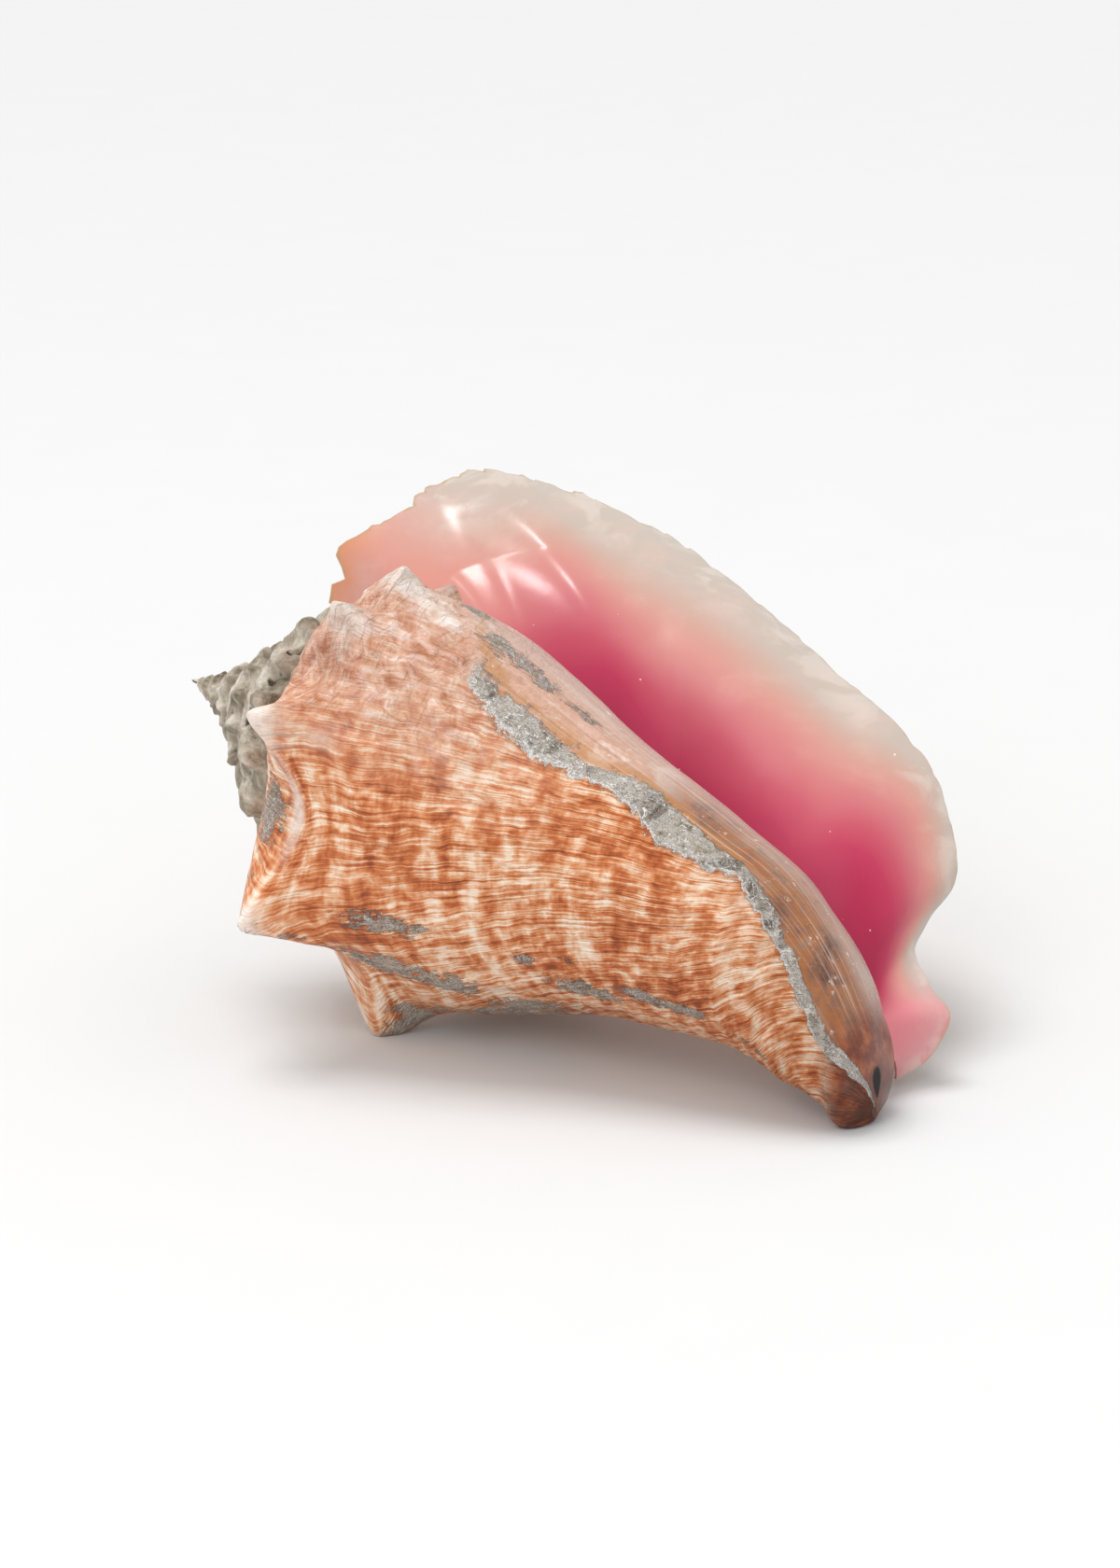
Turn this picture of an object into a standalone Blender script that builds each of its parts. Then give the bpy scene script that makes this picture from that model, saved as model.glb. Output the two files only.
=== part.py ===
"""Queen conch shell, lying on two of its back spines and the tip of its canal. Metres, +Z up.

The shell is worked out in its own frame first: the apex is the origin, depth runs down the axis,
and the growth angle g turns about the axis, in degrees, and grows with the shell. A place across
a whorl is v: 0 at the seam above it, COVER where the next whorl covers it, 1 at the canal's tip.
"""

import math

import bmesh
import bpy
import numpy as np
from mathutils import Matrix, Vector

# The coil
LENGTH = 0.2004
GROWTH = 0.00097
SPIRE_GROWTH = 0.00125
REF_ANGLE = 90.0
SHOULDER_RADIUS = 0.0400
SHOULDER_DEPTH = 0.0616
SHOULDER_DROP = 0.0155
COVER_STEP = 0.16
LIP_ANGLE = 270.0
TURN = 360.0
TURNS = 6.5
COVER = 0.30
CANAL_V = 0.944

# The body from the covered line to the canal: share of the way, radius at REF_ANGLE
BODY = [(0.0, 0.0400), (0.10, 0.0397), (0.25, 0.0346), (0.40, 0.0285), (0.55, 0.0245),
        (0.70, 0.0206), (0.83, 0.0171), (0.92, 0.0128), (0.975, 0.0083), (1.0, 0.0)]
COLUMELLA_SHRINK = 0.0022
SPIRE_REACH = 3.3

# The canal bends towards the back of the shell
BEND_START = 0.060
BEND = 0.0173
CANAL_START = 0.160
CANAL_BEND = 0.0203
BACK_ANGLE = 193.0

# Shoulder spines: growth angle, length outwards, lean to the apex, half width in degrees and in v
SPINES = [(30.0, 0.0090, -0.0027, 14.0, 0.075), (56.5, 0.0100, 0.0011, 11.0, 0.060),
          (92.5, 0.0144, 0.0096, 12.0, 0.065), (139.0, 0.0217, 0.0095, 12.0, 0.070),
          (184.0, 0.0188, 0.0014, 12.0, 0.070), (232.0, 0.0210, 0.0040, 12.0, 0.070)]
SPINE_PLACE = 0.235
KNOB_STEP = 30.0
KNOB_SIZE = 0.13

# Rim of the flared lip: v, then x, y and depth in the shell's frame
RIM = [(0.00, 0.0413, 0.0460, -0.0038), (0.10, 0.0505, 0.0570, -0.0015), (0.20, 0.0640, 0.0700, 0.0010),
       (0.28, 0.0710, 0.0770, 0.0085), (0.36, 0.0720, 0.0810, 0.0265), (0.44, 0.0690, 0.0820, 0.0465),
       (0.52, 0.0640, 0.0820, 0.0710), (0.60, 0.0560, 0.0800, 0.0960), (0.67, 0.0490, 0.0770, 0.1160),
       (0.74, 0.0410, 0.0730, 0.1410), (0.80, 0.0310, 0.0660, 0.1600), (0.85, 0.0164, 0.0580, 0.1730),
       (0.885, 0.0054, 0.0490, 0.1742), (0.91, -0.0023, 0.0440, 0.1767), (0.935, -0.0093, 0.0380, 0.1879),
       (0.96, -0.0135, 0.0360, 0.1951), (0.98, -0.0224, 0.0345, 0.1943), (1.0, -0.0288, 0.0300, 0.1905)]
FLARE_START = 1.0
LIFT = 0.9
FLARE_END = 0.8
FLARE_BACK = 0.5
WALL = 0.0040
RIM_WALL = 0.0022
WALL_SHARE = 0.22
CAVITY_TURN = 210.0

# How it lies
AXIS_AZIMUTH = 145.0
AXIS_RISE = 8.1
ROLL = 23.7
WEAR_DEPTH = 0.0020

# Sampling
STEP = 7.5
RAMP_V = [0.0, 0.07, 0.13, 0.18, 0.21, 0.235, 0.265, COVER]
BODY_V = [COVER, 0.34, 0.38, 0.43, 0.48, 0.54, 0.60, 0.66, 0.72, 0.78, 0.83, 0.87, 0.91, CANAL_V, 0.965, 0.985, 1.0]
WING_STEPS = 9


def ease(x, low, high):
    """0 below low, 1 above high, smooth between."""
    t = np.clip((np.asarray(x, float) - low) / (high - low), 0.0, 1.0)
    return t * t * (3.0 - 2.0 * t)


def smooth_curve(knots, values, where):
    """A smooth curve through values (k, n) at knots (k,), read at where (m,), as (m, n)."""
    knots = np.asarray(knots, float)
    values = np.asarray(values, float)
    where = np.asarray(where, float)
    slopes = np.gradient(values, knots, axis=0)
    at = np.clip(np.searchsorted(knots, where, side="right") - 1, 0, len(knots) - 2)
    width = (knots[at + 1] - knots[at])[:, None]
    t = (where - knots[at])[:, None] / width
    start = (2 * t**3 - 3 * t**2 + 1) * values[at] + (t**3 - 2 * t**2 + t) * slopes[at] * width
    end = (3 * t**2 - 2 * t**3) * values[at + 1] + (t**3 - t**2) * slopes[at + 1] * width
    return start + end


def scale(g):
    """Size of the whorl at g: the older whorls of the spire grow faster."""
    start = LIP_ANGLE - TURN
    return np.exp(GROWTH * (np.maximum(g, start) - REF_ANGLE) + SPIRE_GROWTH * (np.minimum(g, start) - start))


def shoulder(g):
    """Radius and depth of the shoulder."""
    radius = SHOULDER_RADIUS * scale(g)
    depth = SHOULDER_DEPTH * scale(g) + SHOULDER_DROP * ease(g, 40.0, 230.0)
    return radius, depth


def open_profile(g, v):
    """Radius and depth across the whorl, as (len(v), len(g)), without spines."""
    radius, depth = shoulder(g)
    seam_radius, seam_depth = shoulder(g - TURN)
    seam_depth = seam_depth + COVER_STEP * seam_radius
    cover_depth = depth + COVER_STEP * radius
    knots = [0.0, 0.09, 0.17, SPINE_PLACE, COVER]
    radii = [seam_radius, seam_radius + 0.30 * (radius - seam_radius),
             seam_radius + 0.72 * (radius - seam_radius), radius, radius]
    depths = [seam_depth, seam_depth + 0.22 * (depth - seam_depth),
              seam_depth + 0.50 * (depth - seam_depth), depth, cover_depth]
    older = np.clip(-g, 0.0, 300.0)
    spire = ease(-g, 300.0, 450.0)
    reach = (LENGTH - cover_depth) * (1.0 - spire) + SPIRE_REACH * radius * spire
    for share, body_radius in BODY[1:]:
        knots.append(COVER + (1.0 - COVER) * share)
        radii.append(body_radius / SHOULDER_RADIUS * radius * np.exp(-COLUMELLA_SHRINK * older * share))
        depths.append(cover_depth + share * reach)
    radii = smooth_curve(knots, radii, v)
    depths = smooth_curve(knots, depths, v)
    return radii, depths


def profile(g, v):
    """The whorl's profile, which turns into one closed tube at the canal's end."""
    radii, depths = open_profile(g, v)
    tip_radii, tip_depths = open_profile(np.array([REF_ANGLE]), v)
    closed = ease(v, 0.86, CANAL_V)[:, None]
    return radii + closed * (tip_radii - radii), depths + closed * (tip_depths - depths)


def bumps(g, v):
    """Outward and apexward size of the spines and the spire's knobs, as (len(v), len(g))."""
    outward = np.zeros((len(v), len(g)))
    apexward = np.zeros((len(v), len(g)))
    across = np.asarray(v)[:, None] - SPINE_PLACE
    for angle, length, lean, wide, tall in SPINES:
        away = np.sqrt(((g[None, :] - angle) / wide)**2 + (across / tall)**2 + 0.02)
        outward += length * np.exp(-away**1.25)
        apexward += lean * np.exp(-away**1.25)
    older = ease(-g, -20.0, 20.0)[None, :]
    wave = np.clip(np.cos(np.radians((g + 8.0) * TURN / KNOB_STEP)), -0.2, 1.0)[None, :]
    oldest = ease(g, LIP_ANGLE - (TURNS + 1) * TURN, LIP_ANGLE - TURNS * TURN)[None, :]
    knob = SHOULDER_RADIUS * scale(g)[None, :] * wave * np.exp(-(across / 0.055)**2) * older * oldest
    return outward + KNOB_SIZE * knob, apexward + 0.02 * knob


def place(g, radius, depth):
    """Points in the shell's frame."""
    bend = BEND * np.clip((depth - BEND_START) / (LENGTH - BEND_START), 0.0, 2.0)**1.5
    bend = bend + CANAL_BEND * np.clip((depth - CANAL_START) / (LENGTH - CANAL_START), 0.0, 2.0)**2
    turn = np.radians(g)
    back = math.radians(BACK_ANGLE)
    x = radius * np.cos(turn) + bend * math.cos(back)
    y = -radius * np.sin(turn) - bend * math.sin(back)
    return np.stack([x, y, -depth], -1)


def surface(g, v, spiny=True):
    """Outside of the whorl as points (len(v), len(g), 3)."""
    g = np.asarray(g, float)
    v = np.asarray(v, float)
    radius, depth = profile(g, v)
    if spiny:
        outward, apexward = bumps(g, v)
        seam_out, seam_apex = bumps(g - TURN, [COVER])
        near_seam = 1.0 - ease(v, 0.0, 0.10)[:, None]
        radius = radius + outward * (1.0 - near_seam) + seam_out * near_seam
        depth = depth - apexward * (1.0 - near_seam) - seam_apex * near_seam
    return place(g[None, :], radius, depth)


def inward(points):
    """Unit vectors into the shell at every point of a grid (v, growth, 3)."""
    across = np.gradient(points, axis=0)
    along = np.gradient(points, axis=1)
    normal = np.cross(across, along)
    return normal / (np.linalg.norm(normal, axis=-1, keepdims=True) + 1e-12)


def wall(v, radius, into=0.0):
    """Thickness of the wall, into degrees behind the lip: none at the lip's two ends."""
    at_lip = 1.0 - ease(into, 0.0, 15.0)
    taper = ease(v, 0.0, 0.10) * (1.0 - at_lip * ease(v, 0.76, 0.92))
    return np.minimum(WALL * taper[:, None], WALL_SHARE * radius)


def wing(v, t):
    """Outside and inside of the flared lip: t is 0 where it leaves the body and 1 at its rim."""
    step = 1.0
    root = surface([LIP_ANGLE - step, LIP_ANGLE], v)
    start = root[:, 1]
    rim = np.array([(x, y, -depth) for _, x, y, depth in RIM])
    end = smooth_curve([row[0] for row in RIM], rim, np.asarray(v) / CANAL_V)
    span = np.linalg.norm(end - start, axis=1, keepdims=True)
    leave = root[:, 1] - root[:, 0]
    leave = leave / np.linalg.norm(leave, axis=1, keepdims=True)
    outward = -inward(surface([LIP_ANGLE - step, LIP_ANGLE, LIP_ANGLE + step], v, spiny=False))[:, 1]
    ends = 1.0 - ease(v, 0.0, 0.25) + ease(v, 0.80, CANAL_V)
    leave = leave + LIFT * ends[:, None] * outward
    chord = (end - start) / span
    arrive = chord - FLARE_BACK * leave
    t = np.asarray(t)[None, :, None]
    outside = ((2 * t**3 - 3 * t**2 + 1) * start[:, None]
               + (t**3 - 2 * t**2 + t) * (FLARE_START * span * leave)[:, None]
               + (3 * t**2 - 2 * t**3) * end[:, None]
               + (t**3 - t**2) * (FLARE_END * span * arrive)[:, None])
    lean = ease(t, 0.0, 0.3)
    direction = lean * inward(outside) - (1.0 - lean) * outward[:, None]
    radius, _ = profile(np.array([LIP_ANGLE]), v)
    base = wall(v, radius)
    edge = RIM_WALL * ease(t[..., 0], 0.0, 0.5) * (1.0 - 0.6 * ease(v, 0.80, CANAL_V)[:, None])
    thick = np.maximum(base * (1.0 - ease(t[..., 0], 0.3, 1.0)), edge)
    return outside, outside + direction * thick[..., None]


def cavity(g, v):
    """The hollow at growth angles g, which end at the lip: (outer wall, inner wall)."""
    into = LIP_ANGLE - g
    start = COVER + 0.03 * ease(into, 0.0, 10.0)
    stop = CANAL_V - 0.12 * ease(into, 0.0, 60.0)
    inner_share = (v[v >= COVER] - COVER) / (CANAL_V - COVER)
    outer_columns = []
    inner_columns = []
    for angle, low, high in zip(g, start, stop):
        outer_v = v - (CANAL_V - high) * ease(v, 0.4, CANAL_V)
        near = np.array([angle - 1.0, angle, angle + 1.0])
        column = surface(near, outer_v, spiny=False)
        radius, _ = profile(near[1:2], outer_v)
        outer_columns.append(column[:, 1] + inward(column)[:, 1] * wall(v, radius, LIP_ANGLE - angle))
        inner_columns.append(surface(near[1:2] - TURN, low + inner_share * (high - low))[:, 0])
    return np.stack(outer_columns, axis=1), np.stack(inner_columns, axis=1)


class Sheets:
    """Collects grids of points into one mesh, with points that coincide shared."""

    def __init__(self):
        self.mesh = bmesh.new()

    def grid(self, points):
        rows = [[self.mesh.verts.new(p) for p in row] for row in points]
        for low, high in zip(rows, rows[1:]):
            for a, b, c, d in zip(low, low[1:], high[1:], high):
                self.mesh.faces.new((a, b, c, d))

    def cap(self, ring, middle, closed=True):
        middle = self.mesh.verts.new(middle)
        around = [self.mesh.verts.new(p) for p in ring]
        after = around[1:] + around[:1] if closed else around[1:]
        for a, b in zip(around, after):
            self.mesh.faces.new((a, b, middle))

    def close(self):
        bmesh.ops.remove_doubles(self.mesh, verts=self.mesh.verts, dist=1e-6)
        bmesh.ops.dissolve_degenerate(self.mesh, dist=1e-7, edges=self.mesh.edges)
        bmesh.ops.triangulate(self.mesh, faces=self.mesh.faces)
        bmesh.ops.recalc_face_normals(self.mesh, faces=self.mesh.faces)
        if self.mesh.calc_volume(signed=True) < 0.0:
            bmesh.ops.reverse_faces(self.mesh, faces=self.mesh.faces)


def shell_mesh():
    sheets = Sheets()
    whorl_v = np.array(RAMP_V + BODY_V[1:])
    mouth_v = whorl_v[whorl_v <= CANAL_V]
    parietal = LIP_ANGLE - TURN

    spire_g = np.arange(parietal - TURNS * TURN, parietal + STEP / 2, STEP)
    spire = surface(spire_g, RAMP_V)
    sheets.grid(spire)
    first_turn = np.concatenate([spire[0, :int(TURN / STEP) + 1], spire[1:-1, 0][::-1]])
    sheets.cap(first_turn, (0.0, 0.0, -0.0018))

    body_g = np.arange(parietal, LIP_ANGLE + STEP / 2, STEP)
    sheets.grid(surface(body_g, whorl_v))

    outside, inside = wing(mouth_v, np.linspace(0.0, 1.0, WING_STEPS + 1))
    sheets.grid(outside)
    sheets.grid(inside)
    for side in (0, -1):
        sheets.grid(np.stack([outside[side], inside[side]]))
    sheets.grid(np.stack([outside[:, -1], inside[:, -1]]))

    hollow_g = np.arange(LIP_ANGLE - CAVITY_TURN, LIP_ANGLE + STEP / 2, STEP)
    outer, inner = cavity(hollow_g, mouth_v)
    outer[:, -1] = inside[:, 0]
    outer[0] = inner[0]
    outer[-1] = inner[-1]
    sheets.grid(outer)
    sheets.grid(inner)
    ramp = int(np.sum(mouth_v < COVER))
    sheets.grid(np.stack([outer[ramp:, 0], inner[:, 0]]))
    sheets.cap(outer[:ramp + 1, 0], inner[0, 0], closed=False)
    sheets.close()
    return sheets.mesh


def wear_flat(mesh):
    """Wears the lowest spine tips and the canal's tip down to one flat plane."""
    floor = min(v.co.z for v in mesh.verts) + WEAR_DEPTH
    everything = mesh.verts[:] + mesh.edges[:] + mesh.faces[:]
    bmesh.ops.bisect_plane(mesh, geom=everything, dist=1e-6, plane_co=(0.0, 0.0, floor),
                           plane_no=(0.0, 0.0, -1.0), clear_outer=True)
    edges = [e for e in mesh.edges if e.is_boundary]
    bmesh.ops.holes_fill(mesh, edges=edges)
    bmesh.ops.triangulate(mesh, faces=mesh.faces)


def attitude():
    """Turns the shell's frame into the world's, lying as it rests."""
    azimuth = math.radians(AXIS_AZIMUTH)
    rise = math.radians(AXIS_RISE)
    roll = math.radians(ROLL)
    axis = Vector((math.cos(azimuth) * math.cos(rise), math.sin(azimuth) * math.cos(rise), math.sin(rise)))
    level = Vector((0.0, 0.0, 1.0)) - axis * axis.z
    level.normalize()
    x_axis = level * math.cos(roll) + axis.cross(level) * math.sin(roll)
    y_axis = axis.cross(x_axis)
    return Matrix((x_axis, y_axis, axis)).transposed().to_4x4()


def shell_material():
    material = bpy.data.materials.new("shell")
    material.use_nodes = True
    principled = material.node_tree.nodes["Principled BSDF"]
    principled.inputs["Base Color"].default_value = (0.80, 0.52, 0.36, 1.0)
    principled.inputs["Roughness"].default_value = 0.45
    principled.inputs["Metallic"].default_value = 0.0
    return material


def build():
    for old in list(bpy.data.objects):
        bpy.data.objects.remove(old, do_unlink=True)
    mesh = shell_mesh()
    mesh.transform(attitude())
    wear_flat(mesh)
    low = Vector([min(v.co[i] for v in mesh.verts) for i in range(3)])
    high = Vector([max(v.co[i] for v in mesh.verts) for i in range(3)])
    shift = Vector((-(low.x + high.x) / 2, -(low.y + high.y) / 2, -low.z))
    bmesh.ops.translate(mesh, verts=mesh.verts, vec=shift)
    data = bpy.data.meshes.new("conch_shell")
    mesh.to_mesh(data)
    mesh.free()
    data.materials.append(shell_material())
    shell = bpy.data.objects.new("conch_shell", data)
    bpy.context.collection.objects.link(shell)


build()
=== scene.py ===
"""Looks of the queen conch shell: its fine surface, its colours, a pale floor and soft light.

The shell is worked out in its own frame first: the apex is the origin, depth runs down the axis,
and the growth angle g turns about the axis, in degrees, and grows with the shell. A place across
a whorl is v: 0 at the seam above it, COVER where the next whorl covers it, 1 at the canal's tip.
Metres, +Z up.
"""

import math

import bpy
import numpy as np
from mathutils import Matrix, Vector


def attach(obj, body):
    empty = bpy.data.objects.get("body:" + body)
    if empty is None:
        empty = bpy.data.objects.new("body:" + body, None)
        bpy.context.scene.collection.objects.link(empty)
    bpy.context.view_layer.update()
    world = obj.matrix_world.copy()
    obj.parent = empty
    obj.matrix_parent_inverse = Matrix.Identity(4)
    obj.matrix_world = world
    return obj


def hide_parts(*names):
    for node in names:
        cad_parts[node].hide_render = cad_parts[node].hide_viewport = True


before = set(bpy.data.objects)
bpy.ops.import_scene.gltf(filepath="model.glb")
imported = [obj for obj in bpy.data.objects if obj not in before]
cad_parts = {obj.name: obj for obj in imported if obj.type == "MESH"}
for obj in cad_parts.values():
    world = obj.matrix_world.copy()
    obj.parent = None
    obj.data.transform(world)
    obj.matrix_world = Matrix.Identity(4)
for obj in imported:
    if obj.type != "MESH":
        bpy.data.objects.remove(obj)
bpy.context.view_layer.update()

TINY = 1e-9

# The coil, as in the part's source
LENGTH = 0.2004
GROWTH = 0.00097
SPIRE_GROWTH = 0.00125
REF_ANGLE = 90.0
SHOULDER_RADIUS = 0.0400
SHOULDER_DEPTH = 0.0616
SHOULDER_DROP = 0.0155
COVER_STEP = 0.16
LIP_ANGLE = 270.0
TURN = 360.0
TURNS = 6.5
COVER = 0.30
CANAL_V = 0.944
PARIETAL = LIP_ANGLE - TURN
BODY = [(0.0, 0.0400), (0.10, 0.0397), (0.25, 0.0346), (0.40, 0.0285), (0.55, 0.0245), (0.70, 0.0206),
        (0.83, 0.0171), (0.92, 0.0128), (0.975, 0.0083), (1.0, 0.0)]
COLUMELLA_SHRINK = 0.0022
SPIRE_REACH = 3.3
BEND_START = 0.060
BEND = 0.0173
CANAL_START = 0.160
CANAL_BEND = 0.0203
BACK_ANGLE = 193.0
# Share of the radius that the spire's tip is slimmer by, and the depth where that ends
SLIM_TIP = 0.42
SLIM_DEPTH = 0.036

# Shoulder spines: growth angle, length outwards, lean to the apex, half width in degrees and in v
SPINES = [(30.0, 0.0090, -0.0027, 14.0, 0.075), (56.5, 0.0108, 0.0020, 9.5, 0.056),
          (92.5, 0.0144, 0.0096, 12.0, 0.065), (139.0, 0.0212, 0.0095, 14.5, 0.082),
          (184.0, 0.0188, 0.0014, 12.0, 0.070), (232.0, 0.0210, 0.0040, 12.0, 0.070)]
SPINE_PLACE = 0.235
# The spines' sharpness: shares of their half widths, and the power of their slope
SPINE_WIDE = 0.84
SPINE_TALL = 0.92
SPINE_POWER = 1.12
# Hollows between the spines: growth angle, v, depth, half width in degrees and in v
DENTS = [(73.0, 0.22, 0.0040, 8.0, 0.055), (43.5, 0.23, 0.0030, 5.0, 0.05),
         (114.0, 0.22, 0.0018, 9.0, 0.06)]
# Knobs of the spire: degrees from one to the next, size and lean as shares of the radius, half width in v
KNOB_STEP = 24.0
KNOB_SIZE = 0.16
KNOB_SHIFT = 8.0
KNOB_LEAN = 0.02
KNOB_TALL = 0.050

# Rim of the flared lip: share along the mouth, then x, y and depth in the shell's frame
RIM = [(0.00, 0.0413, 0.0460, -0.0038), (0.10, 0.0505, 0.0570, -0.0015), (0.20, 0.0640, 0.0700, 0.0010),
       (0.28, 0.0710, 0.0770, 0.0085), (0.36, 0.0720, 0.0810, 0.0265), (0.44, 0.0690, 0.0820, 0.0465),
       (0.52, 0.0640, 0.0820, 0.0710), (0.60, 0.0560, 0.0800, 0.0960), (0.67, 0.0490, 0.0770, 0.1160),
       (0.74, 0.0410, 0.0730, 0.1410), (0.80, 0.0310, 0.0660, 0.1600), (0.85, 0.0164, 0.0580, 0.1730),
       (0.885, 0.0054, 0.0490, 0.1742), (0.91, -0.0023, 0.0440, 0.1767),
       (0.935, -0.0093, 0.0380, 0.1879), (0.96, -0.0135, 0.0360, 0.1951),
       (0.98, -0.0224, 0.0345, 0.1943), (1.0, -0.0288, 0.0300, 0.1905)]
# How strongly the lip leaves the body and arrives at its rim, and the thickness of the wall
FLARE_START = 1.0
LIFT = 0.9
FLARE_END = 0.8
FLARE_BACK = 0.5
WALL = 0.0040
RIM_WALL = 0.0020
WALL_SHARE = 0.22
CAVITY_TURN = 210.0

# The lip's edge: moves along the world's axes, and how rounded and ragged it is
LIP_NUDGE = (0.0016, 0.0, 0.0016)
EAR_SHARE = 0.045
EAR_DROP = (-0.0021, -0.0036, -0.0127)
RIM_ROUND = 0.014
RAGGED = 0.030
RAGGED_FROM = 0.78
# Chips and flakes on the lip's edge: v, height as a share of the lip's width, half width in v
FLAKES = [(0.024, -0.085, 0.0045), (0.385, -0.012, 0.020), (0.458, 0.016, 0.020), (0.478, 0.045, 0.006),
          (0.560, -0.008, 0.012), (0.780, -0.012, 0.010)]

# How it lies, and where its apex is in the frame
AXIS_AZIMUTH = 145.0
AXIS_RISE = 8.1
ROLL = 23.7
APEX = (-0.08813, 0.02421, 0.06725)
FLOOR_GAP = 0.0002

# Sampling of the fine surface
TIP_DEPTH = 0.0006
TIP_TURN = 300.0
FRONT_FROM = 10.0
FRONT_TO = 212.0
FRONT_STEP = 0.70
REST_STEP = 2.0
RAMP_ROWS = 44
BODY_ROWS = 166
CANAL_ROWS = 16
SPIRE_ROWS = 40
LIP_COLUMNS = 150
RIM_COLUMNS = 12
BACK_COLUMNS = 60
LIP_GROWTH = 70.0
HOLLOW_STEP = 3.0

# Fine relief: the spiral cords' spacing in v, and heights in metres
CORD_SPACING = 0.031
CORD_HEIGHT = 0.00012
LINE_HEIGHT = 0.00010
FOLD_HEIGHT = 0.0008
WRINKLE_HEIGHT = 0.0009
CREASE_DEPTH = 0.0007
LUMP_HEIGHT = 0.0006
GLAZE_HEIGHT = 0.00045
THREAD_HEIGHT = 0.0005
SCAB_HEIGHT = 0.0003
BACK_HEIGHT = 0.0006
SPIRE_HEIGHT = 0.0009
PIT_DEPTH = 0.0011

# Where the inner glaze ends on the body: v, growth angle of its frilly edge, and of the crust's inner side
GLAZE_EDGE = [(0.00, -30.0, -34.0), (0.25, 0.0, -6.0), (0.33, 14.0, 2.0), (0.40, 40.0, 36.0),
              (0.435, 54.0, 44.0), (0.48, 61.0, 48.0), (0.54, 62.0, 48.0), (0.595, 60.0, 48.0),
              (0.635, 57.0, 43.0), (0.67, 61.0, 42.0), (0.70, 66.0, 44.0), (0.75, 61.0, 46.0),
              (0.80, 58.0, 47.0), (0.84, 68.0, 56.0), (0.865, 75.0, 63.0), (0.89, 80.0, 68.0),
              (0.93, 91.0, 79.0), (0.95, 95.0, 82.0), (0.975, 83.0, 70.0), (1.00, 60.0, 50.0)]

# Grey crust patches: v, growth angle, half widths in v and in degrees, strength
CRUST_SPOTS = [(0.375, 139.0, 0.045, 4.0, 0.9), (0.335, 158.0, 0.055, 6.0, 1.0),
               (0.415, 163.0, 0.035, 5.0, 0.9), (0.285, 189.0, 0.035, 12.0, 1.0),
               (0.440, 188.0, 0.10, 8.0, 0.8), (0.535, 144.0, 0.014, 3.5, 0.7),
               (0.595, 140.0, 0.010, 2.6, 0.7), (0.610, 156.0, 0.050, 5.0, 1.3),
               (0.695, 148.0, 0.035, 3.6, 1.3), (0.760, 147.0, 0.026, 4.4, 1.3),
               (0.500, 176.0, 0.06, 6.0, 0.9), (0.180, 119.0, 0.030, 9.0, 1.0),
               (0.170, 150.0, 0.10, 14.0, 0.8), (0.355, 13.0, 0.022, 7.0, 0.9),
               (0.420, 28.0, 0.030, 6.0, 0.9), (0.480, 27.0, 0.028, 5.0, 0.8),
               (0.545, 26.0, 0.030, 4.0, 0.6), (0.845, 150.0, 0.03, 5.0, 0.5)]

# Brown and, below zero, pale patches: v, growth angle, half widths in v and in degrees, strength
BROWN_SPOTS = [(0.405, 116.0, 0.010, 10.0, 1.0), (0.515, 121.0, 0.008, 9.0, 0.7),
               (0.500, 137.0, 0.013, 6.0, 1.0), (0.650, 82.0, 0.008, 9.0, 0.7),
               (0.672, 117.0, 0.010, 11.0, 1.1), (0.715, 112.0, 0.009, 11.0, 1.0),
               (0.560, 142.0, 0.050, 8.0, 0.8), (0.640, 146.0, 0.060, 6.0, 0.8),
               (0.760, 140.0, 0.030, 12.0, 0.9), (0.790, 88.0, 0.050, 4.0, 0.9),
               (0.475, 70.0, 0.03, 4.0, 0.5), (0.62, 66.0, 0.05, 4.0, 0.8), (0.71, 74.0, 0.03, 5.0, 0.6),
               (0.405, 50.0, 0.015, 4.0, 0.9), (0.87, 112.0, 0.04, 5.0, 0.8),
               (0.635, 128.0, 0.022, 8.0, -1.0), (0.825, 118.0, 0.025, 9.0, -1.0),
               (0.43, 96.0, 0.06, 9.0, 0.5)]

# Chalky worn places besides the spines: v, growth angle, half widths in v and in degrees, strength
CHALK_SPOTS = [(0.30, 27.0, 0.055, 11.0, 0.9), (0.27, 56.0, 0.040, 7.0, 0.7),
               (0.33, 50.0, 0.030, 4.0, 0.5), (0.31, 92.0, 0.030, 4.0, 0.5),
               (0.36, 34.0, 0.030, 5.0, 0.6), (0.240, 115.0, 0.024, 14.0, 0.8)]
# Shares of a spine's half widths that are chalky: on the spines up to this angle, and on the others
CHALKY_BEFORE = 120.0
BALD_SHARE = 0.55
LESS_BALD_SHARE = 0.28

# How the growth lines slant across the whorl: v, degrees that they fall behind
SLANT = [(0.0, 0.0), (0.235, 0.0), (0.35, 6.0), (0.45, 14.0), (0.60, 30.0), (0.75, 50.0), (0.80, 62.0),
         (0.85, 86.0), (0.90, 122.0), (0.95, 165.0), (1.0, 210.0)]

# Layers of the body's pattern: steps per degree, steps across, detail, distortion, strength
LAYERS = [(0.42, 5.0, 2.0, 0.0, 0.40), (0.95, 8.0, 2.0, 0.0, 0.90), (2.1, 12.0, 2.0, 0.0, 0.75),
          (0.24, 42.0, 3.0, 0.25, 1.15)]
BARS = (0.040, 40.0, 3.0, 0.0, 0.90)
DRIFT_STRENGTH = 0.60
BROWN_STRENGTH = 0.22
PATTERN_LEVEL = 1.84

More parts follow.
